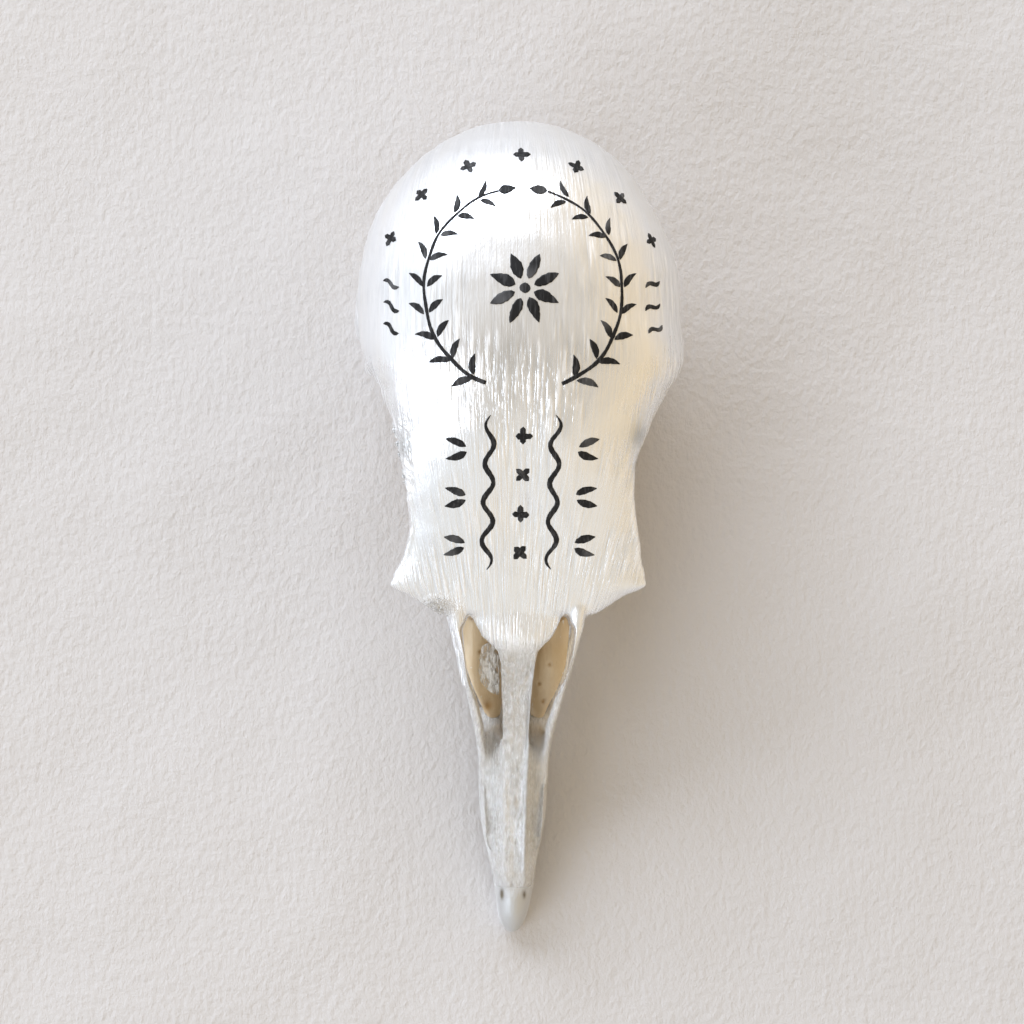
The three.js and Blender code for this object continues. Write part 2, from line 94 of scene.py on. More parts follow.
class PaintLook(bpy.types.PropertyGroup):
    """The brushed pearl paint, the bare bone under it and the ink on it"""

    pearl: FloatVectorProperty(
        name="Pearl", description="Colour of the paint", subtype="COLOR",
        default=(0.92, 0.93, 0.95), min=0, max=1,
    )
    metallic: FloatProperty(
        name="Metal", description="How metallic the paint looks", default=0.7, subtype="FACTOR",
    )
    bone: FloatVectorProperty(
        name="Bone", description="Colour of the unpainted bone", subtype="COLOR",
        default=(0.72, 0.58, 0.39), min=0, max=1,
    )
    ink: FloatVectorProperty(
        name="Ink", description="Colour of the ink", subtype="COLOR",
        default=(0.006, 0.006, 0.007), min=0, max=1,
    )


class InkMarks(bpy.types.PropertyGroup):
    """The pen marks"""

    line: FloatProperty(
        name="Line", description="Width of a pen line", default=0.3 * MM, unit="LENGTH",
        precision=5,
    )
    lift: FloatProperty(
        name="Lift", description="How far the ink stands above the paint",
        default=0.022 * MM, unit="LENGTH", precision=5,
    )
    seed: IntProperty(name="Seed", description="Seed of the hand's unevenness", default=7)


class StudioLook(bpy.types.PropertyGroup):
    """Floor, lights and camera"""

    floor: FloatVectorProperty(
        name="Floor", description="Colour of the floor", subtype="COLOR",
        default=(0.618, 0.595, 0.585), min=0, max=1,
    )
    distance: FloatProperty(
        name="Camera Distance", description="From the camera to what it looks at",
        default=0.295, unit="LENGTH",
    )
    aim: FloatVectorProperty(
        name="Aim", description="The point that the camera looks at", subtype="XYZ",
        default=(-0.19 * MM, 1.11 * MM, 5 * MM), precision=5,
    )
    lean: FloatProperty(
        name="Lean", description="How far the camera leans towards the skull's right side",
        default=math.radians(2.45), subtype="ANGLE",
    )
    view_width: FloatProperty(
        name="View Width", description="Width of the view at the aim",
        default=56.5 * MM, unit="LENGTH", precision=5,
    )
    daylight: FloatProperty(name="Daylight", description="Power of both windows", default=12.5)
    room: FloatProperty(name="Room Light", description="Strength of the room's light", default=0.95)


def smooth_step(value, start, end):
    """0 before start, 1 after end, and smooth in between."""
    share = np.clip((value - start) / (end - start), 0, 1)
    return share * share * (3 - 2 * share)


def span(value, start, full, fading, end):
    """1 from full to fading, 0 before start and after end, and smooth in between."""
    return smooth_step(value, start, full) * (1 - smooth_step(value, fading, end))


def bump_curve(value, centre, width):
    """A smooth hump, 1 at the centre."""
    return np.exp(-(((value - centre) / width) ** 2))


def cord_distance(y):
    """How far each cord along the bill stands from the bill's middle, in millimetres."""
    return np.interp(y, (-19, -14, -9.5, -6.5), (0.52, 0.66, 0.8, 0.95))


def as_object(name, made):
    """An object of a bmesh, which is freed."""
    mesh = bpy.data.meshes.new(name)
    made.to_mesh(mesh)
    made.free()
    obj = bpy.data.objects.new(name, mesh)
    bpy.context.scene.collection.objects.link(obj)
    return obj


def pour(part, whole):
    """Adds one bmesh to another, and frees it."""
    passing = bpy.data.meshes.new("passing")
    part.to_mesh(passing)
    part.free()
    whole.from_mesh(passing)
    bpy.data.meshes.remove(passing)


def cad_copy(*nodes, shift=(0, 0, 0)):
    """A bmesh of merged copies of CAD nodes"""
    made = bmesh.new()
    for node in nodes:
        part = bmesh.new()
        part.from_mesh(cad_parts[node].data)
        bmesh.ops.remove_doubles(part, verts=part.verts, dist=0.0005 * MM)
        bmesh.ops.translate(part, verts=part.verts, vec=shift)
        pour(part, made)
    return made


def joined(name, *parts):
    """One object that holds several bmeshes, which are freed."""
    whole = bmesh.new()
    for part in parts:
        pour(part, whole)
    return as_object(name, whole)


def plated(name, film, thickness):
    """One object of a bmesh, whose faces get a thickness."""
    bmesh.ops.solidify(film, geom=film.faces[:], thickness=thickness)
    bmesh.ops.recalc_face_normals(film, faces=film.faces)
    return as_object(name, film)


def shaped(obj, kind, **settings):
    """Gives an object a modifier and applies it."""
    modifier = obj.modifiers.new(kind.title(), kind)
    for name, value in settings.items():
        setattr(modifier, name, value)
    graph = bpy.context.evaluated_depsgraph_get()
    mesh = bpy.data.meshes.new_from_object(obj.evaluated_get(graph))
    obj.modifiers.clear()
    old = obj.data
    obj.data = mesh
    bpy.data.meshes.remove(old)


def remeshed(obj, cell):
    shaped(obj, "REMESH", mode="VOXEL", voxel_size=cell, adaptivity=0, use_smooth_shade=True)


def points_of(obj):
    """Places and normals of an object's points, in millimetres."""
    mesh = obj.data
    places = np.empty(len(mesh.vertices) * 3, np.float32)
    mesh.vertices.foreach_get("co", places)
    normals = np.empty(len(mesh.vertices) * 3, np.float32)
    mesh.vertices.foreach_get("normal", normals)
    return places.reshape(-1, 3) / MM, normals.reshape(-1, 3)


def move_points(obj, places):
    obj.data.vertices.foreach_set("co", (places * MM).astype(np.float32).ravel())
    obj.data.update()


def averaged(mesh, values, rounds):
    """Averages values over neighbouring points, as many times as asked."""
    pairs = np.empty(len(mesh.edges) * 2, np.int32)
    mesh.edges.foreach_get("vertices", pairs)
    one, other = pairs.reshape(-1, 2).T
    size = len(mesh.vertices)
    count = np.bincount(one, minlength=size) + np.bincount(other, minlength=size) + 1
    for _ in range(rounds):
        columns = [
            column + np.bincount(one, column[other], size) + np.bincount(other, column[one], size)
            for column in values.T
        ]
        values = np.stack(columns, axis=1) / count[:, None]
    return values


def smoothed(obj, rounds):
    shaped(obj, "SMOOTH", factor=0.5, iterations=rounds)


def calmed(obj, rounds, reach=8):
    """Smooths facets away where the surface runs on, and leaves rims and thin edges as they are."""
    _, normals = points_of(obj)
    evenness = np.linalg.norm(averaged(obj.data, normals, reach), axis=1)
    calm = smooth_step(evenness, 0.88, 0.965)
    group = obj.vertex_groups.new(name="calm")
    levels = np.round(calm * 4).astype(int)
    for level in (1, 2, 3, 4):
        group.add(np.flatnonzero(levels == level).tolist(), level / 4, "REPLACE")
    shaped(obj, "SMOOTH", factor=0.5, iterations=rounds, vertex_group="calm")
    obj.vertex_groups.clear()


def roughness_field(places, scale, seed):
    """Smooth noise from -1 to 1 at each place."""
    offset = Vector((seed * 17.3, seed * 5.1, seed * 9.7))
    return np.array([noise.noise(Vector(p) * scale + offset) for p in places], np.float32)


def paint_attribute(obj, name, values):
    layer = obj.data.attributes.new(name, "FLOAT", "POINT")
    layer.data.foreach_set("value", np.asarray(values, np.float32))


def leave_bare(obj, shelter):
    """Marks what a brush hardly reaches, as in the orbits or on an underside, as bare."""
    places, normals = points_of(obj)
    cover = BVHTree.FromObject(shelter, bpy.context.evaluated_depsgraph_get())
    starts = [Vector(at) for at in (places + 0.25 * normals) * MM]
    tilts, turns = (40, 78), range(0, 360, 60)
    free = np.zeros(len(starts))
    for tilt in tilts:
        for turn in turns:
            way = Euler((0, math.radians(tilt), math.radians(turn))).to_matrix() @ Vector((0, 0, 1))
            free += [cover.ray_cast(at, way)[0] is None for at in starts]
    free /= len(tilts) * len(turns)
    free += 0.08 * roughness_field(places * np.array([1, 0.4, 1], np.float32), 1.3, 9)
    open_share = averaged(obj.data, free[:, None], 5)[:, 0]
    top_of_bill = smooth_step(-places[:, 1], 9.0, 9.6) * smooth_step(normals[:, 2], 0, 0.3)
    bare = (1 - smooth_step(open_share, 0.22, 0.4)) * (1 - 0.4 * top_of_bill)
    paint_attribute(obj, "bare", bare)


def eased(obj, mask, rounds):
    """Smooths the points by as much as the mask says."""
    places, _ = points_of(obj)
    soft = averaged(obj.data, places, rounds)
    move_points(obj, places + (soft - places) * mask[:, None])


def finished(obj, material, slot, *nodes):
    """Last steps of every piece: its finish, its body and the CAD nodes that it stands for."""
    obj.data.materials.clear()
    obj.data.materials.append(material)
    for polygon in obj.data.polygons:
        polygon.use_smooth = True
    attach(obj, "root")
    if nodes:
        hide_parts(*nodes)
    return obj


class Nodes:
    """A short way to write a node tree"""

    def __init__(self, name):
        self.material = bpy.data.materials.new(name)
        self.material.use_nodes = True
        self.tree = self.material.node_tree
        self.tree.nodes.clear()
        self.shader = self.add("ShaderNodeBsdfPrincipled")
        output = self.add("ShaderNodeOutputMaterial")
        self.join(self.shader.outputs[0], output.inputs[0])

    def add(self, kind, **settings):
        node = self.tree.nodes.new(kind)
        for name, value in settings.items():
            if name in node.inputs:
                node.inputs[name].default_value = value
            else:
                setattr(node, name, value)
        return node

    def join(self, output, socket):
        self.tree.links.new(output, socket)

    def place(self, scale):
        """Object coordinates, scaled along each axis."""
        coordinates = self.add("ShaderNodeTexCoord")
        mapping = self.add("ShaderNodeMapping")
        mapping.inputs["Scale"].default_value = scale
        self.join(coordinates.outputs["Object"], mapping.inputs["Vector"])
        return mapping.outputs[0]

    def texture(self, place, detail=4, roughness=0.55, distortion=0):
        """Noise with a cell of about 1 in each direction of a place."""
        texture = self.add(
            "ShaderNodeTexNoise", Scale=1, Detail=detail, Roughness=roughness,
            Distortion=distortion,
        )
        self.join(place, texture.inputs["Vector"])
        return texture.outputs["Fac"]

    def noise(self, scale, **settings):
        """Noise with a cell of about 1 / scale metres along each axis."""
        return self.texture(self.place(scale), **settings)

    def strokes(self, across, along, **settings):
        """Noise drawn out along the skull, on its top and its sides alike."""
        apart = self.add("ShaderNodeSeparateXYZ")
        self.join(self.place((1, 1, 1)), apart.inputs[0])
        x, y, z = apart.outputs
        axis_depth, reach = 5 * MM, 15 * MM
        turn = self.math("ARCTAN2", x, self.math("ADD", z, axis_depth))
        spot = self.add("ShaderNodeCombineXYZ")
        self.join(self.math("MULTIPLY", turn, reach * across), spot.inputs[0])
        self.join(self.math("MULTIPLY", y, along), spot.inputs[1])
        return self.texture(spot.outputs[0], **settings)

    def spread(self, value, low, high, to_low=0.0, to_high=1.0):
        """Maps a value from one range to another, and keeps it inside."""
        node = self.add("ShaderNodeMapRange", clamp=True)
        for name, amount in zip(
            ("From Min", "From Max", "To Min", "To Max"), (low, high, to_low, to_high)
        ):
            node.inputs[name].default_value = amount
        self.join(value, node.inputs["Value"])
        return node.outputs[0]

    def math(self, operation, first, second):
        node = self.add("ShaderNodeMath", operation=operation)
        for socket, value in zip(node.inputs, (first, second)):
            if isinstance(value, (int, float)):
                socket.default_value = value
            else:
                self.join(value, socket)
        return node.outputs[0]

    def attribute(self, name):
        return self.add("ShaderNodeAttribute", attribute_name=name).outputs["Fac"]

    def mix(self, share, first, second):
        """A colour between two others."""
        node = self.add("ShaderNodeMix", data_type="RGBA")
        self.join(share, node.inputs["Factor"])
        for socket, value in zip((node.inputs[6], node.inputs[7]), (first, second)):
            if isinstance(value, (tuple, list)):
                socket.default_value = (*value[:3], 1)
            else:
                self.join(value, socket)
        return node.outputs[2]

    def bump(self, height, depth, strength=1.0, under=None):
        """A relief of the given depth in metres."""
        node = self.add("ShaderNodeBump")
        node.inputs["Strength"].default_value = strength
        node.inputs["Distance"].default_value = depth
        self.join(height, node.inputs["Height"])
        if under is not None:
            self.join(under, node.inputs["Normal"])
        return node.outputs[0]

    def set(self, **values):
        for name, value in values.items():
            socket = self.shader.inputs[name.replace("_", " ")]
            if isinstance(value, bpy.types.NodeSocket):
                self.join(value, socket)
            elif isinstance(value, (tuple, list)):
                socket.default_value = (*value[:3], 1)
            else:
                socket.default_value = value


def pearl_paint():
    """Brushed pearl paint: strokes run along the skull, and bone shows where they miss."""
    made = bpy.data.materials.get("brushed_pearl")
    if made:
        return made
    look = bpy.context.scene.paint_look
    n = Nodes("brushed_pearl")
    strokes = n.strokes(6300, 420, detail=3, roughness=0.55, distortion=0.2)
    patches = n.noise((420, 170, 300), detail=3)
    hairs = n.strokes(15000, 600, detail=2, roughness=0.5)
    bands = n.strokes(1700, 200, detail=3, roughness=0.5)
    grain = n.noise((7000, 3500, 7000), detail=3)
    wrinkles = n.noise((8000, 1500, 4500), detail=5, roughness=0.75)
    marked = n.math("SUBTRACT", 1.0, n.attribute("plain"))
    shown = n.math("MULTIPLY", n.spread(patches, 0.4, 0.6, 0.2, 1.1), marked)
    strokes = n.math("MULTIPLY", n.math("SUBTRACT", strokes, 0.5), shown)
    pearl = tuple(look.pearl)
    thin = tuple(c * d for c, d in zip(pearl, (0.86, 0.865, 0.87)))
    warm = tuple(c * d for c, d in zip(pearl, (0.97, 0.95, 0.915)))
    painted_shade_and_patches = tuple(c * d for c, d in zip(pearl, (0.45, 0.45, 0.43)))
    darker_tone = tuple(c * 0.25 for c in look.bone)
    clear, crease_shade_colour, highlight_white = (0.95, 0.925, 0.885), (0.58, 0.54, 0.48), (0.98, 0.985, 1.0)
    grit = n.attribute("grit")
    # Painted shade in the troughs of the wrinkles on the bill, and painted glints on their crests
    crease_shade = n.math("MULTIPLY", grit, n.spread(wrinkles, 0.45, 0.36, 0, 0.8))
    glint = n.math("MULTIPLY", grit, n.spread(wrinkles, 0.5, 0.57))
    coat = n.mix(n.spread(strokes, -0.1, 0.06), thin, pearl)
    coat = n.mix(n.spread(bands, 0.45, 0.7, 0, 0.6), coat, warm)
    coat = n.mix(n.math("MULTIPLY", grit, 0.7), coat, clear)
    coat = n.mix(crease_shade, coat, crease_shade_colour)
    # Whiter, less metallic paint on the crests of the strokes, partly as thicker paint and partly as
    # painted glints, and at the painted highlights and glints
    white = n.math("MAXIMUM", n.spread(strokes, 0.07, 0.13), n.attribute("painted_highlight"))
    white = n.math("MAXIMUM", white, glint)
    coat = n.mix(white, coat, highlight_white)
    # Painted shade, a painted reflection and grey patches, in a darker pearl
    coat = n.mix(n.attribute("painted_shade_and_patches"), coat, painted_shade_and_patches)
    coat = n.mix(n.attribute("bare"), coat, tuple(look.bone))
    # Painted shade in the holes near the tip of the bill
    coat = n.mix(n.attribute("pit"), coat, darker_tone)
    covered = n.math("SUBTRACT", 1.0, n.attribute("bare"))
    metal = n.math("MULTIPLY", covered, n.spread(white, 0, 1, look.metallic, 0.35))
    dull = n.spread(strokes, -0.2, 0.2, 0.2, 0.33)
    relief = n.bump(strokes, 0.085 * MM)
    relief = n.bump(hairs, 0.018 * MM, under=relief)
    relief = n.bump(grain, 0.012 * MM, under=relief)
    relief = n.bump(n.math("MULTIPLY", wrinkles, grit), 0.4 * MM, under=relief)
    matt = n.math("MULTIPLY", n.attribute("plain"), n.spread(grit, 0, 0.5, 0.25, 0))
    n.set(
        Base_Color=coat,
        Metallic=metal,
        Roughness=n.math("ADD", n.math("MULTIPLY", dull, n.spread(grit, 0, 1, 1, 0.4)), matt),
        Coat_Weight=0.35,
        Coat_Roughness=0.12,
        Normal=relief,
    )
    return n.material


def bare_bone():
    """Unpainted tan bone, finely streaked, with specks of paint and painted shade in a few pits."""
    made = bpy.data.materials.get("tan_bone")
    if made:
        return made
    look = bpy.context.scene.paint_look
    n = Nodes("tan_bone")
    bone = tuple(look.bone)
    darker_tone = tuple(c * d for c, d in zip(bone, (0.84, 0.77, 0.64)))
    ochre = tuple(c * d for c, d in zip(bone, (0.6, 0.42, 0.2)))
    clouds = n.noise((900, 350, 900), detail=4)
    fibres = n.noise((5200, 600, 3000), detail=3)
    specks = n.noise((5200, 1500, 3000), detail=2)
    colour = n.mix(n.spread(clouds, 0.4, 0.7), bone, darker_tone)
    colour = n.mix(n.spread(specks, 0.68, 0.74, 0, 0.8), colour, tuple(look.pearl))
    # Painted shade in the hollows of the scrolls
    colour = n.mix(n.attribute("pit"), colour, ochre)
    n.set(
        Base_Color=colour,
        Roughness=n.spread(fibres, 0.3, 0.7, 0.25, 0.5),
        Normal=n.bump(fibres, 0.05 * MM, 0.7),
    )
    return n.material


def black_ink():
    """Pen ink that the brushed paint took up unevenly."""
    made = bpy.data.materials.get("pen_ink")
    if made:
        return made
    look = bpy.context.scene.paint_look
    n = Nodes("pen_ink")
    worn = (0.14, 0.14, 0.145)
    strokes = n.noise((6000, 600, 3000), detail=4, roughness=0.6)
    thin = n.math("ADD", n.spread(strokes, 0.5, 0.75, 0, 0.5), n.attribute("worn"))
    n.set(
        Base_Color=n.mix(n.spread(thin, 0, 1), tuple(look.ink), worn),
        Roughness=0.6,
        Specular_IOR_Level=0.3,
        Normal=n.bump(strokes, 0.03 * MM, 0.5),
    )
    return n.material


def paint_film():
    """Clear, glossy film of dried paint medium, white where it is creased."""
    n = Nodes("paint_film")
    creases = n.noise((5200, 1500, 3000), detail=4, roughness=0.65, distortion=0.5)
    n.set(
        Base_Color=(0.97, 0.97, 0.96),
        Roughness=0.12,
        Coat_Weight=0.6,
        Alpha=n.spread(creases, 0.42, 0.56, 0.12, 0.95),
        Normal=n.bump(creases, 0.22 * MM),
    )
    return n.material


class SKULL_OT_stage(bpy.types.Operator):
    """Makes the floor, the lights and the camera"""

    bl_idname = "skull.stage"
    bl_label = "Stage"

    def execute(self, context):
        look = context.scene.studio_look
        self.floor(look)
        self.windows(look)
        self.room(look)
        self.camera(context, look)
        return {"FINISHED"}

    def floor(self, look):
        sheet = bmesh.new()
        bmesh.ops.create_grid(sheet, x_segments=1, y_segments=1, size=0.8)
        floor = as_object("floor", sheet)
        n = Nodes("floor_paper")
        fibres = n.noise((2300, 1600, 1900), detail=5, roughness=0.6)
        swells = n.noise((60, 60, 60), detail=2)
        relief = n.bump(fibres, 0.115 * MM)
        relief = n.bump(swells, 0.8 * MM, under=relief)
        n.set(Base_Color=tuple(look.floor), Roughness=0.85, Normal=relief)
        floor.data.materials.append(n.material)

    def windows(self, look):
        """Daylight from a wide, low window at the back left, and some from the front left."""
        for name, place, size, share in (
            ("window", (-0.33, 0.79, 0.44), (0.95, 0.34), 0.87),
            ("side_window", (-0.46, -0.32, 0.3), (0.4, 0.3), 0.13),
        ):
            data = bpy.data.lights.new(name, "AREA")
            data.shape = "RECTANGLE"
            data.size, data.size_y = size
            data.energy = look.daylight * share
            data.color = (0.79, 0.87, 1.0)
            lamp = bpy.data.objects.new(name, data)
            lamp.location = place
            lamp.rotation_euler = lamp.location.to_track_quat("Z", "Y").to_euler()
            bpy.context.scene.collection.objects.link(lamp)

    def room(self, look):
        """Light from all round: dimmer overhead, and warmer on the side away from the window."""
        world = bpy.data.worlds.new("room")
        world.use_nodes = True
        tree = world.node_tree
        background = tree.nodes["Background"]
        background.inputs["Strength"].default_value = look.room
        direction = tree.nodes.new("ShaderNodeTexCoord")
        apart = tree.nodes.new("ShaderNodeSeparateXYZ")
        tree.links.new(direction.outputs["Generated"], apart.inputs[0])

        def graded(axis, start, end, first, second):
            shade = tree.nodes.new("ShaderNodeMapRange")
            for name, value in (("From Min", start), ("From Max", end)):
                shade.inputs[name].default_value = value
            mix = tree.nodes.new("ShaderNodeMix")
            mix.data_type = "RGBA"
            tree.links.new(apart.outputs[axis], shade.inputs["Value"])
            tree.links.new(shade.outputs[0], mix.inputs["Factor"])
            for socket, colour in zip((mix.inputs[6], mix.inputs[7]), (first, second)):
                if isinstance(colour, tuple):
                    socket.default_value = (*colour, 1)
                else:
                    tree.links.new(colour, socket)
            return mix.outputs[2]

        near_window, far_wall, ceiling = (0.93, 0.97, 1.0), (1.0, 0.79, 0.5), (0.56, 0.495, 0.405)
        sides = graded("X", -0.3, 0.8, near_window, far_wall)
        whole = graded("Z", 0.35, 0.85, sides, ceiling)
        tree.links.new(whole, background.inputs["Color"])
        bpy.context.scene.world = world
        bpy.context.scene.view_settings.view_transform = "Standard"

    def camera(self, context, look):
        data = bpy.data.cameras.new("camera")
        data.sensor_width = 36
        data.lens = data.sensor_width * look.distance / look.view_width
        data.clip_start = 0.01
        camera = bpy.data.objects.new("camera", data)
        turn = Euler((0, -look.lean, 0)).to_matrix()
        camera.location = Vector(look.aim) + turn @ Vector((0, 0, look.distance))
        camera.rotation_euler = turn.to_euler()
        context.scene.collection.objects.link(camera)
        context.scene.camera = camera


class SKULL_OT_fused_bone(bpy.types.Operator):
    """Makes the bones that are one in life: braincase, roof, septum, lacrimals and bill"""

    bl_idname = "skull.fused_bone"
    bl_label = "Fused Bone"

    # Where forms start, are full, fade and end along the skull, in millimetres
    FOREHEAD_DIP = (-3, 1, 6, 11)
    ORBITS = (-3.2, -1.5, 6.5, 8.5)
    WORN_RIM = (0.8, 2.4, 5.6, 6.6)
    BARS = (-10.5, -9.5, -4.8, -4.3)
    BAR_WALLS = (-9.4, -7.5, -5.4, -4.9)
    SILLS = (-13.8, -13, -11.2, -10.4)
    CORDS = (-20.2, -18.6, -8.0, -6.2)
    FURROWS = (-18.8, -16.4, -12.4, -11.4)
    SLITS = (-17.1, -16.6, -14.4, -13.6)
    # The reach of the painted highlights and painted shade on the bill
    BILL_PAINTED_LIGHT = (-20, -19, -7.5, -6.5)
    GRIT = (-21.0, -18.0, -8.2, -5.2)

    # The same, outwards from the middle
    BARS_ACROSS = (1.8, 2.1, 3.4, 3.7)
    BAR_WALLS_ACROSS = (1.9, 2.3, 3.1, 3.4)
    SILLS_ACROSS = (0.75, 0.95, 1.75, 1.95)

    # Where the whole bone bends to one side: place along it, reach, and how far
    BENDS = ((8.6, 1.8, 0.3), (-0.9, 1.5, 0.22), (17.3, 2.2, -0.17))

    # Where the rims stand out from an even skull: place, reach, and how far at left and right
    UNEVENNESS = (
        (12.2, 1.4, -0.17, -0.17),
        (5.6, 0.9, 0, -0.16),
        (3.9, 1.0, -0.24, -0.03),
        (0.5, 1.1, 0.04, -0.22),
        (-2.9, 0.4, 0.22, 0.2),
        (-20, 1.5, 0.13, 0),
    )

    def execute(self, context):
        sizes = context.scene.bone_sizes
        vault = joined("vault", cad_copy("braincase"), self.roof())
        remeshed(vault, sizes.coarse)
        outline = self.half_widths(vault)
        calmed(vault, 90)
        smoothed(vault, 3)
        self.hold_width(vault, outline)
        reach = 1.5 * SEAM
        bone = joined(
            "skull_bone",
            self.bill(),
            cad_copy("lacrimal_left", "lacrimal_right"),
            cad_copy("lacrimal_left", "lacrimal_right", shift=(0, 0, reach)),
            cad_copy("interorbital_septum"),
            cad_copy("interorbital_septum", shift=(0, 0, reach)),
            cad_copy("interorbital_septum", shift=(0, reach, 0)),
            self.mesh_of(vault),
        )
        remeshed(bone, sizes.fine)
        calmed(bone, 22, reach=5)
        smoothed(bone, 2)
        self.sculpt(bone)
        triangles = 2 * len(bone.data.polygons)
        if triangles > sizes.faces:
            shaped(bone, "DECIMATE", ratio=sizes.faces / triangles)
        self.tones(bone)
        finished(
            bone, pearl_paint(), "pearl_paint",
            "braincase", "frontals", "interorbital_septum", "upper_bill",
            "lacrimal_left", "lacrimal_right",
        )
        return {"FINISHED"}

    def roof(self):
        """The frontals, drawn back over the suture and forward into the lobe between the nostrils."""
        roof = cad_copy("frontals")
        half, reach, slope = 2.35 * MM, 2.1 * MM, 0.74
        for v in roof.verts:
            if v.co.y > ROOF_REAR_Y - EDGE:
                v.co.y += 1.5 * SEAM
            elif v.co.y < ROOF_FRONT_Y + EDGE:
                lobe = reach * max(0, 1 - (v.co.x / half) ** 2)
                over_bar = 0.6 * SEAM * smooth_step(abs(v.co.x), 2.5 * MM, 3.1 * MM)
                forward = max(lobe, over_bar)
                v.co.y -= forward
                v.co.z -= slope * forward
        return roof

    def bill(self):
        """The bill, drawn back into the forehead, with a floor under each nostril and furrow."""
        bill = cad_copy("upper_bill")
        for v in bill.verts:
            if v.co.y > BILL_ROOT_Y - EDGE:
                v.co.y += 2 * SEAM
                v.co.z += SEAM
        nostril_floor = ((1.12, -11.1, 2.55), 15, (0.85, 2.1, 0.3))
        furrow_floor = ((1.18, -14.9, 2.8), -10, (0.52, 3.0, 0.36))
        for place, slope, size in (nostril_floor, furrow_floor):
            for side in (1, -1):
                at = Matrix.Translation(Vector((side * place[0], *place[1:])) * MM)
                turn = Matrix.Rotation(math.radians(-slope), 4, "X")
                scale = Matrix.Diagonal((*(MM * reach for reach in size), 1))
                bmesh.ops.create_uvsphere(
                    bill, u_segments=20, v_segments=10, radius=1, matrix=at @ turn @ scale
                )
        self.cutting_edges(bill)
        return bill

    def cutting_edges(self, bill):
        """Rounds the edges of the bill, which are sharper than the remesh can keep."""
        radius, first, last, step = 0.22, -20.7, -13.3, 0.15
        for y in np.arange(first, last, step):
            half = np.interp(y, (-20.7, -18.3, -16, -12.6), (0.88, 1.33, 1.84, 1.96)) - radius
            edge = np.interp(y, (-20.7, -17.5, -12.6), (0.52, 1.05, 1.45)) + radius
            for side in (1, -1):
                at = Matrix.Translation(Vector((side * half, y, edge)) * MM)
                bmesh.ops.create_uvsphere(
                    bill, u_segments=8, v_segments=6, radius=radius * MM, matrix=at
                )

    def mesh_of(self, obj):
        """A bmesh of an object, which is removed."""
        made = bmesh.new()
        made.from_mesh(obj.data)
        bpy.data.objects.remove(obj)
        return made

    def half_widths(self, obj):
        """Half the width of the skull's upper half at steps along it."""
        places, _ = points_of(obj)
        x, y, z = places.T
        steps = np.arange(ROOF_FRONT_Y / MM, REAR_Y / MM, 0.3)
        wide = [np.abs(x[(np.abs(y - at) < 0.2) & (z > 6.5)]).max(initial=0) for at in steps]
        return steps, np.array(wide)

    def hold_width(self, obj, outline):
        """Brings the rims back out to where they were before the smoothing."""
        steps, before = outline
        _, after = self.half_widths(obj)
        places, _ = points_of(obj)
        x, y, z = places.T
        growth = np.interp(y, steps, before / np.maximum(after, 0.1)) - 1
        near = smooth_step(np.abs(x) / np.interp(y, steps, after), 0.6, 1.0)
        places[:, 0] *= 1 + growth * near * smooth_step(z, 5.5, 6.5) * smooth_step(y, -3.9, -3.4)
        move_points(obj, places)

    def sculpt(self, bone):
        """Adds the relief, the rims and the unevenness that are finer than the solids."""
        places, normals = points_of(bone)
        x, y, z = places.T
        up = smooth_step(normals[:, 2], 0.1, 0.5)
        swells = roughness_field(places, 0.35, 1) * 0.05 + roughness_field(places, 1.1, 2) * 0.018
        lift = swells * smooth_step(y, -7, -3)
        lift -= 0.14 * bump_curve(x, 0, 1.5) * span(y, *self.FOREHEAD_DIP) * up
        half_width = np.interp(y, *self.half_widths(bone))
        rim = bump_curve(half_width - np.abs(x), 0.12, 0.16) * span(y, *self.ORBITS)
        drop = self.bill_relief(places) * up + 0.09 * rim * up
        sideways = self.slim_bars(places, normals) + self.uneven_rims(x, y, z)
        places += normals * lift[:, None]
        places[:, 2] += drop
        places[:, 0] += sideways
        places += self.flaked_rim(places)
        move_points(bone, places)
        self.ease(bone, places)

    def ease(self, bone, places):
        """Rounds the bars beside the nostrils, the bill's edges and tip, and the nostrils' sills."""
        x, y, z = places.T
        away = np.abs(x)
        bars = span(away, *self.BARS_ACROSS) * span(y, *self.BARS) * (z > 3.2)
        edges = smooth_step(-y, 11.4, 12) * (z < np.interp(y, (-20, -13), (1.1, 2.0)))
        tip = smooth_step(-y, 18.6, 19.3)
        eased(bone, np.clip(bars + edges + tip, 0, 1), 7)
        sills = span(away, *self.SILLS_ACROSS) * span(y, *self.SILLS)
        eased(bone, sills * smooth_step(z, 2.2, 2.6), 30)

    def uneven_rims(self, x, y, z):
        """No skull is quite even: where its left and right outlines stand further out or in."""
        high = smooth_step(z, 5.5, 8)
        shift = high * sum(far * bump_curve(y, at, reach) for at, reach, far in self.BENDS)
        shift += 0.12 * bump_curve(y, -10, 3) * bump_curve(x, 0, 1.1) * (z > 2.8)
        shift += 0.1 * bump_curve(y, -6.8, 1.6)
        for at, reach, left, right in self.UNEVENNESS:
            outward = np.where(x > 0, left, right) * bump_curve(y, at, reach)
            rim = smooth_step(np.abs(x), 3.5, 6.5) * high if at > -15 else np.abs(x) / 0.8
            shift += outward * np.sign(x) * rim
        return shift

    def slim_bars(self, places, normals):
        """Thins the bar outside each nostril from its inner side."""
        x, y, z = places.T
        inner = smooth_step(-normals[:, 0] * np.sign(x), 0.1, 0.7)
        bar = span(np.abs(x), *self.BAR_WALLS_ACROSS) * span(y, *self.BAR_WALLS) * (z > 3)
        return 0.3 * inner * bar * np.sign(x)

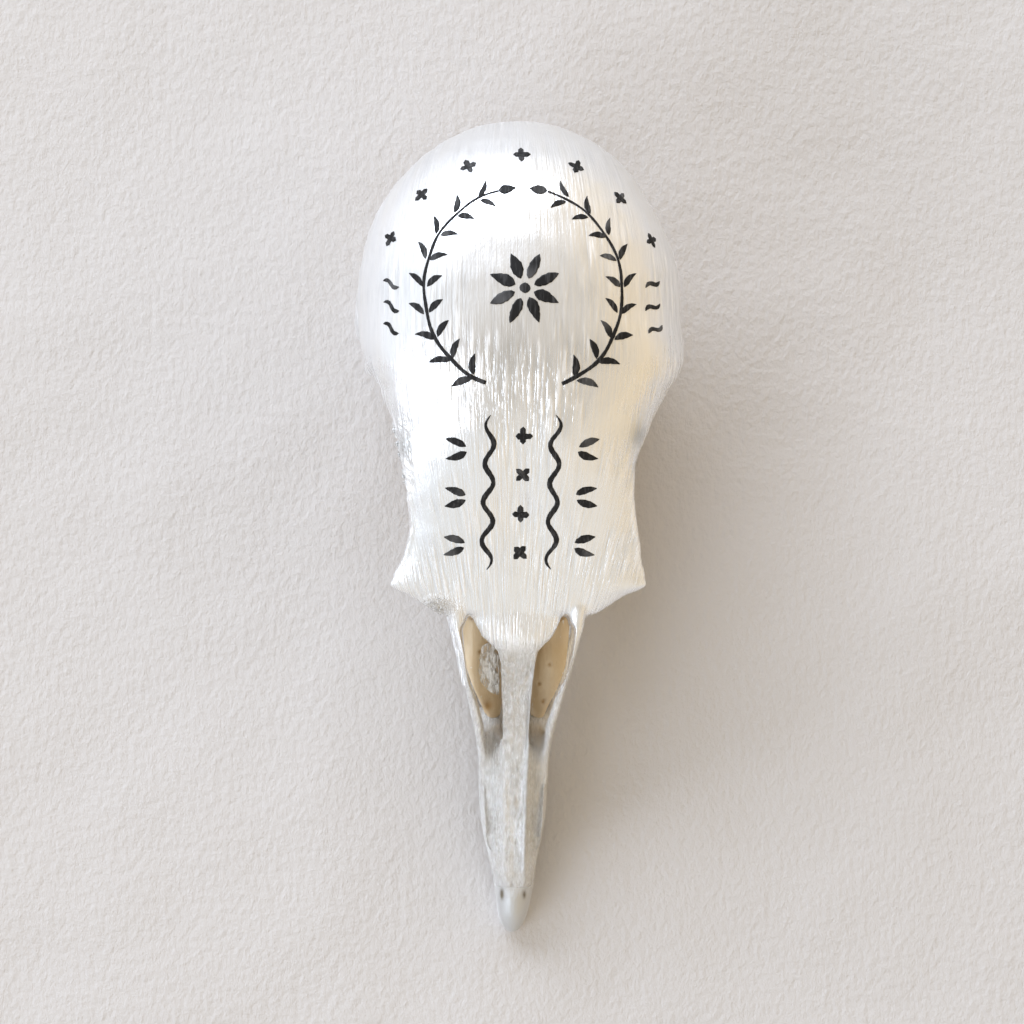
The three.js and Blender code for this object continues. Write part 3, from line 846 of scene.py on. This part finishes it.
    def flaked_rim(self, places):
        """The rim of the right orbit is worn and a little ragged."""
        x, y, z = places.T
        worn = span(y, *self.WORN_RIM) * smooth_step(-x, 5.6, 6.3)
        ragged = roughness_field(places, 3.1, 4) * 0.08 + roughness_field(places, 7, 5) * 0.05
        shift = np.zeros_like(places)
        shift[:, 0] = -ragged * worn * smooth_step(z, 8, 9)
        shift[:, 2] = 0.5 * ragged * worn * smooth_step(z, 8, 9)
        return shift

    def bill_relief(self, places):
        """Two cords along the culmen with wrinkles between, a furrow and a slit outside each."""
        x, y, z = places.T
        away = np.abs(x)
        wander = roughness_field(np.stack([0 * y, y, 0 * y], 1), 0.45, 6) * 0.05
        cord_x = cord_distance(y)
        cords = bump_curve(np.abs(x + wander), cord_x, 0.1) * np.where(x > 0, 0.32, 0.19)
        stretched = places * np.array([1, 0.15, 0.3], np.float32)
        streaks = roughness_field(stretched, 3.4, 7) * 0.11
        grit = roughness_field(places, 3.6, 8) * 0.09 * bump_curve(y, -7.4, 1.8)
        between = 1 - smooth_step(away, cord_x - 0.05, cord_x + 0.15)
        relief = span(y, *self.CORDS) * (cords + (streaks + grit) * between)
        relief -= 0.42 * bump_curve(away, cord_x + 0.56, 0.34) * span(y, *self.FURROWS)
        half_width = np.interp(y, (-16.6, -13.9), (1.72, 1.92))
        slit = span(y, *self.SLITS) * (z > 1.8)
        relief -= 0.3 * bump_curve(away, half_width - 0.32, 0.09) * slit * np.where(x > 0, 1, 0.4)
        relief += 0.12 * bump_curve(away, half_width - 0.12, 0.1) * slit
        return relief - self.tip_pits(x, y) * 0.3

    def tip_pits(self, x, y):
        """The small holes for nerves near the tip of the bill."""
        pits = bump_curve(x, 0.62, 0.08) * bump_curve(y, -20.2, 0.2)
        pits += bump_curve(x, -0.63, 0.09) * bump_curve(y, -20.2, 0.3)
        return pits + 0.3 * bump_curve(x, -0.05, 0.07) * bump_curve(y, -19.6, 0.07)

    def tones(self, bone):
        """Marks painted shade, a painted reflection and grey patches, painted highlights on ridges
        and rims, painted shade in the holes near the tip, grit, and where strokes don't show.
        """
        places, normals = points_of(bone)
        x, y, z = places.T
        # Grey patches on the slopes behind both orbits
        painted_shade_and_patches = 0.7 * bump_curve(np.abs(x), 6.3, 0.55) * bump_curve(y, 4.9 + 0.05 * x, 0.7)
        # Painted reflection: the middle of the crown greyed, as where it mirrors the dim room above
        painted_shade_and_patches += 0.3 * bump_curve(x, -1.0, 1.2) * bump_curve(y, 9.4, 1.5)
        # A faint grey patch on the left of the crown
        painted_shade_and_patches += 0.18 * bump_curve(x, 3.6, 1.5) * bump_curve(y, 9.8, 0.8)
        # Painted shade: the tip of the bill and the back rim of the dome made greyer
        painted_shade_and_patches += 0.6 * (1 - smooth_step(y, -20.6, -18.6)) + 0.16 * smooth_step(y, 17, 21)
        cord_x = cord_distance(y)
        on_bill = span(y, *self.BILL_PAINTED_LIGHT) * (z > 2)
        # Painted shade in the furrow on the right side of the bill
        painted_shade_and_patches += 0.2 * bump_curve(x, -1.72, 0.18) * bump_curve(y, -14.6, 1.6) * on_bill
        # Painted highlights: white along the cords, on the wall of the left furrow, at a spot on the
        # bill's right, and along the rims of the roof
        painted_highlight = bump_curve(np.abs(x), cord_x, 0.1) * on_bill * np.where(x > 0, 1, 0.6)
        painted_highlight += bump_curve(x, 1.5, 0.3) * bump_curve(y, -12.3, 1.3) * on_bill
        painted_highlight += 0.8 * bump_curve(x, -1.4, 0.15) * bump_curve(y, -17.9, 0.4)
        rim_x = np.interp(y, *self.half_widths(bone))
        painted_highlight += 0.9 * bump_curve(rim_x - np.abs(x), 0.08, 0.14) * (y > -4) * (y < 8)
        paint_attribute(bone, "painted_highlight", np.clip(painted_highlight, 0, 1) * smooth_step(normals[:, 2], 0, 0.3))
        paint_attribute(bone, "painted_shade_and_patches", painted_shade_and_patches * smooth_step(normals[:, 2], 0, 0.4))
        # Painted shade in the holes near the tip
        paint_attribute(bone, "pit", np.clip(1.3 * self.tip_pits(x, y) * (z > 1.0), 0, 1))
        grit = span(y, *self.GRIT)
        grit *= 1 - 0.45 * smooth_step(np.abs(x), 0.9, 1.3)
        grit += 0.8 * bump_curve(x, -4.4, 1.0) * bump_curve(y, -4.1, 0.5)
        paint_attribute(bone, "grit", np.clip(grit, 0, 1))
        paint_attribute(bone, "plain", 1 - smooth_step(y, -8.5, -6) + 0.3 * smooth_step(y, 8, 12))
        leave_bare(bone, bone)


class SKULL_OT_loose_bones(bpy.types.Operator):
    """Makes the bones that stay apart: jugal bars, quadrates, palatines and pterygoids"""

    bl_idname = "skull.loose_bones"
    bl_label = "Loose Bones"

    def execute(self, context):
        for name in ("jugal_bar", "quadrate", "palatine", "pterygoid"):
            for side in ("left", "right"):
                node = f"{name}_{side}"
                bone = cad_copy(node)
                if name == "jugal_bar":
                    self.close_ends(bone)
                obj = joined(f"bone_{node}", bone)
                remeshed(obj, context.scene.bone_sizes.slender)
                smoothed(obj, 10)
                places, normals = points_of(obj)
                places += normals * (0.05 * roughness_field(places, 1.4, 11))[:, None]
                places[:, 2] = np.maximum(places[:, 2], 0)
                move_points(obj, places)
                leave_bare(obj, bpy.data.objects["skull_bone"])
                finished(obj, pearl_paint(), "pearl_paint", node)
        return {"FINISHED"}

    def close_ends(self, bar):
        """The bar meets the bill in front and the quadrate behind."""
        front = min(v.co.y for v in bar.verts)
        rear = max(v.co.y for v in bar.verts)
        for v in bar.verts:
            if v.co.y < front + SEAM:
                v.co.y -= 0.8 * SEAM
            elif v.co.y > rear - SEAM:
                v.co.y += 0.8 * SEAM


class SKULL_OT_nostril_scrolls(bpy.types.Operator):
    """Makes the spongy unpainted scrolls that show through the nostrils"""

    bl_idname = "skull.nostril_scrolls"
    bl_label = "Nostril Scrolls"

    # Small hollows in the scrolls: across, along and reach, in millimetres
    PITS = (
        (-1.46, -9.65, 0.2), (-1.95, -6.6, 0.07), (-1.8, -8.3, 0.06),
        (1.35, -8.4, 0.07), (1.9, -7.3, 0.06), (1.6, -9.4, 0.09),
    )

    def execute(self, context):
        for side in ("left", "right"):
            node = f"maxillopalatine_{side}"
            obj = joined(f"bone_{node}", cad_copy(node))
            remeshed(obj, context.scene.bone_sizes.slender)
            smoothed(obj, 5)
            places, normals = points_of(obj)
            folds = roughness_field(places * np.array([1, 0.35, 1], np.float32), 1.8, 3)
            places -= normals * (0.05 * folds)[:, None]
            x, y, z = places.T
            centre = 1.9 if side == "left" else -1.85
            wide = centre + 1.14 * (x - centre) + 0.09
            outer = np.interp(y, (-11.5, -9.6, -7.4, -5), (1.5, 2.1, 2.8, 3.1))
            outer += 0 if side == "left" else -0.12
            places[:, 0] = np.sign(centre) * np.minimum(np.abs(wide), outer)
            places[:, 1] += 0.5 * smooth_step(y, -7.5, -5.2) + 0.7 * (1 - smooth_step(y, -11, -8))
            x, y, z = places.T
            pits = sum(
                bump_curve(x, at, reach) * bump_curve(y, along, 1.4 * reach)
                for at, along, reach in self.PITS
            )
            pits *= smooth_step(normals[:, 2], 0, 0.4)
            places[:, 2] -= 0.15 * pits
            move_points(obj, places)
            # Where the painted shade of the hollows goes
            paint_attribute(obj, "pit", np.clip(pits, 0, 1))
            finished(obj, bare_bone(), "bare_bone", node)
        return {"FINISHED"}


def polar(radius, degrees, centre=(0, 0)):
    angle = math.radians(degrees)
    return Vector((centre[0] + radius * math.cos(angle), centre[1] + radius * math.sin(angle)))


class Pen:
    """Draws on the bone. A drawing's points are in millimetres, seen from above."""

    def __init__(self, bone, look):
        self.skin = BVHTree.FromObject(bone, bpy.context.evaluated_depsgraph_get())
        self.ink = bmesh.new()
        self.worn = self.ink.verts.layers.float.new("worn")
        self.hand = random.Random(look.seed)
        self.look = look
        self.wrapped = False

    def land(self, spot):
        """The point of the bone under a point of the drawing, which may wrap round the dome."""
        foot, direction = Vector((spot.x * MM, spot.y * MM, 0)), Vector((0, 0, 1))
        if self.wrapped:
            angle = spot.length * MM / DOME_RADIUS
            flat = spot.normalized() * math.sin(angle)
            foot, direction = DOME_CENTRE, Vector((flat.x, flat.y, math.cos(angle)))
        place, normal, *_ = self.skin.ray_cast(foot + direction * 0.05, -direction)
        return place, normal

    def stroke(self, path, half_width, across=2):
        """One stroke. path gives the pen's place and half_width its reach, at shares 0 to 1."""
        hand = self.hand
        shake, phase = Vector((hand.uniform(-1, 1), hand.uniform(-1, 1))), hand.uniform(0, 9)
        faded = hand.choice((0, 0, 0, 0.25, 0.5))
        ends = [path(0.02 * i) for i in range(51)]
        length = sum((b - a).length for a, b in zip(ends, ends[1:]))
        steps = max(6, int(length / 0.13))
        grid = bmesh.ops.create_grid(self.ink, x_segments=steps, y_segments=2 * across, size=1)
        for v in grid["verts"]:
            share, side = (v.co.x + 1) / 2, v.co.y
            ahead = path(min(1, share + 0.01)) - path(max(0, share - 0.01))
            right = Vector((-ahead.y, ahead.x)).normalized()
            wobble = 0.03 * math.sin(phase + 2.1 * share * length)
            swell = 1 + 0.1 * math.sin(2 * phase + 3.7 * share * length)
            swell += 0.07 * math.sin(5 * phase + 17 * share * length)
            spot = path(share) + shake * 0.03 + right * wobble
            spot += right * side * max(0.012, half_width(share)) * swell
            place, normal = self.land(spot)
            v.co = place + normal * self.look.lift
            v[self.worn] = faded * (0.5 + 0.5 * math.sin(phase + 5 * share))

    def line(self, start, end):
        """A straight line of the pen's own width, with round ends."""
        reach = (end - start).length
        half = self.look.line / MM / 2
        blunt = min(0.5, half / max(reach, 0.01))

        def width(share):
            near = min(share, 1 - share) / blunt
            return half * (1 if near >= 1 else math.sqrt(max(0, 1 - (1 - near) ** 2)))

        self.stroke(lambda share: start.lerp(end, share), width)

    def blot(self, centre, radius):
        """A round dot."""
        centre = Vector(centre)
        ahead = polar(radius, 0)
        self.stroke(
            lambda share: centre + ahead * -math.cos(math.pi * share),
            lambda share: radius * math.sin(math.pi * share), across=3,
        )

    def leaf(self, root, tip, half, bend=0.0):
        """An almond shape that bends to one side."""
        root, tip = Vector(root), Vector(tip)
        aside = Vector((-(tip - root).y, (tip - root).x)) * bend
        self.stroke(
            lambda share: root.lerp(tip, share) + aside * math.sin(math.pi * share),
            lambda share: half * math.sin(math.pi * share ** 0.8) ** 0.8, across=3,
        )

    def plus(self, centre, arm, degrees=0):
        for turn in (degrees, degrees + 90):
            reach = polar(arm, turn)
            self.line(Vector(centre) - reach, Vector(centre) + reach)

    def finish(self, name, depth=0.05 * MM):
        """Closes every stroke into a thin plate that is sunk a little in the paint."""
        bmesh.ops.recalc_face_normals(self.ink, faces=self.ink.faces)
        for face in [f for f in self.ink.faces if f.normal.z < 0]:
            face.normal_flip()
        return plated(name, self.ink, depth)


class SKULL_OT_ink_marks(bpy.types.Operator):
    """Draws the ornament on the crown and on the roof between the orbits"""

    bl_idname = "skull.ink_marks"
    bl_label = "Ink Marks"

    def execute(self, context):
        bone = bpy.data.objects["skull_bone"]
        for name, draw in (("ink_crown", self.crown), ("ink_roof", self.roof)):
            pen = Pen(bone, context.scene.ink_marks)
            draw(pen)
            finished(pen.finish(name), black_ink(), "black_ink")
        return {"FINISHED"}

    def crown(self, pen):
        """A wreath of two leafy branches round a flower, and crosses and waves outside it."""
        pen.wrapped = True
        middle, ring, first, last = (0, 1.3), 5.5, -68, 76
        for side in (1, -1):
            def spot(radius, turn):
                at = polar(radius, turn, middle)
                return Vector((side * at.x, at.y))

            pen.stroke(
                lambda share: spot(ring, first + (last - first) * share),
                lambda share: 0.11 * (1 - 0.5 * share),
            )
            for step in range(9):
                turn = first + 8 + 15.5 * step
                size = 1 - 0.03 * step
                for way in (1, -1):
                    root = spot(ring + way * 0.14, turn)
                    tip = spot(ring + way * 1.1 * size, turn + 7)
                    pen.leaf(root, tip, 0.2 * size, 0.1 * way * side)
            pen.leaf(spot(ring, last), spot(ring, last + 10), 0.24)
        for petal in range(8):
            turn = 45 * petal + 22.5
            pen.leaf(polar(0.55, turn, middle), polar(2.0, turn, middle), 0.3)
        pen.blot(middle, 0.3)
        for turn in range(30, 151, 20):
            pen.plus(polar(8.9, turn), 0.48, turn)
        for side in (1, -1):
            for row in range(3):
                self.wave(pen, (8.2 * side, 2.0 - 1.3 * row), (7.1 * side, 1.5 - 1.3 * row), 0.13)

    def wave(self, pen, start, end, rise, half=0.12, humps=1):
        """A wavy line."""
        start, end = Vector(start), Vector(end)
        aside = Vector((-(end - start).y, (end - start).x)).normalized()

        def path(share):
            return start.lerp(end, share) + aside * rise * math.sin(2 * math.pi * humps * share)

        pen.stroke(path, lambda share: half * min(1, 6 * share, 6 * (1 - share)) ** 0.5)

    def roof(self, pen):
        """Two wavy lines with crosses between them and pairs of leaves outside."""
        for side in (1, -1):
            self.wave(pen, (1.75 * side, 6.3), (1.75 * side, -2.0), 0.26 * side, 0.13, 4)
            for row in range(3):
                y = 4.5 - 2.6 * row
                for way in (1, -1):
                    tip = (4.1 * side, y + 0.5 * way)
                    pen.leaf((3.0 * side, y + 0.14 * way), tip, 0.2, 0.05 * way * side)
        for row in range(4):
            pen.plus((0.04, 5.2 - 2.1 * row), 0.46, 45 * (row % 2))


class SKULL_OT_loose_film(bpy.types.Operator):
    """Makes the flakes on the worn rim of one orbit and the film over one nostril"""

    bl_idname = "skull.loose_film"
    bl_label = "Loose Film"

    def execute(self, context):
        bone = bpy.data.objects["skull_bone"]
        skin = BVHTree.FromObject(bone, bpy.context.evaluated_depsgraph_get())
        hand = random.Random(context.scene.ink_marks.seed + 1)
        film = bmesh.new()
        for _ in range(34):
            self.flake(film, skin, hand, Vector((-7.3, hand.uniform(2.2, 6.0), 10.8)), 0.15)
        for _ in range(12):
            self.flake(film, skin, hand, Vector((-4.6, hand.uniform(-5.2, -3.6), 7.6)), 0.13)
        material = paint_film()
        finished(plated("paint_flakes", film, 0.012 * MM), material, "pearl_paint")
        finished(self.nostril_film(), material, "pearl_paint")
        return {"FINISHED"}

    def nostril_film(self):
        """A creased film that clings to the scroll from the middle bar outwards."""
        scroll = bpy.data.objects["bone_maxillopalatine_right"]
        under = BVHTree.FromObject(scroll, bpy.context.evaluated_depsgraph_get())
        film = bmesh.new()
        grid = bmesh.ops.create_grid(film, x_segments=26, y_segments=60, size=1)
        middle_y, half_length, inner, widest, above = -7.4, 1.6, -0.86, -2.0, 9
        for v in grid["verts"]:
            across, along = v.co.x, v.co.y
            y = middle_y + half_length * along
            ragged = 0.3 * noise.noise(Vector((0, 2.3 * y, 4)))
            outer = widest - ragged + 1.1 * along ** 4
            x = inner + (outer - inner) * (across + 1) / 2
            place = under.ray_cast(Vector((x, y, above)) * MM, Vector((0, 0, -1)))[0]
            folds = Vector((4.2 * x, 1.5 * y, 0))
            crease = noise.noise(folds) + 0.5 * noise.noise(2.3 * folds)
            height = (place.z if place else 4 * MM) + (0.3 + 0.15 * crease) * MM
            v.co = Vector((x * MM, y * MM, height))
        bmesh.ops.smooth_vert(film, verts=film.verts, factor=0.4, use_axis_z=True)
        return plated("nostril_film", film, 0.015 * MM)

    def flake(self, film, skin, hand, near, size):
        """One thin, curled scrap that grows out of the bone near a place."""
        near.x += hand.uniform(-0.35, 0.35)
        root, normal, *_ = skin.find_nearest(near * MM)
        turn = Euler([hand.uniform(-0.7, 0.7) for _ in range(3)]).to_matrix()
        out = (turn @ normal).normalized()
        across = out.orthogonal().normalized()
        along = out.cross(across)
        reach = size * hand.uniform(0.4, 1.1) * MM
        grid = bmesh.ops.create_grid(film, x_segments=4, y_segments=4, size=1)
        for v in grid["verts"]:
            u, w = v.co.x, v.co.y
            edge = 1 - 0.35 * (u * w) ** 2 + hand.uniform(-0.12, 0.12)
            curl = 0.35 * u * u
            v.co = root + reach * (
                across * u * edge + along * w * edge * 0.8 + out * (0.12 + curl + 0.1 * w)
            )


class SKULL_PT_panel(bpy.types.Panel):
    """Lists the steps"""

    bl_idname = "SKULL_PT_panel"
    bl_label = "Dove Skull"
    bl_space_type = "VIEW_3D"
    bl_region_type = "UI"
    bl_category = "Dove Skull"

    def draw(self, context):
        for step in STEPS:
            self.layout.operator(step.bl_idname)


STEPS = (
    SKULL_OT_stage,
    SKULL_OT_fused_bone,
    SKULL_OT_loose_bones,
    SKULL_OT_nostril_scrolls,
    SKULL_OT_ink_marks,
    SKULL_OT_loose_film,
)
SETTINGS = {
    "bone_sizes": BoneSizes,
    "paint_look": PaintLook,
    "ink_marks": InkMarks,
    "studio_look": StudioLook,
}


def register():
    for group in (*SETTINGS.values(), *STEPS, SKULL_PT_panel):
        bpy.utils.register_class(group)
    for name, group in SETTINGS.items():
        setattr(bpy.types.Scene, name, PointerProperty(type=group))


def unregister():
    for name in SETTINGS:
        delattr(bpy.types.Scene, name)
    for group in (SKULL_PT_panel, *STEPS, *SETTINGS.values()):
        bpy.utils.unregister_class(group)


def main():
    register()
    for step in STEPS:
        family, name = step.bl_idname.split(".")
        getattr(getattr(bpy.ops, family), name)()


if __name__ == "__main__":
    main()
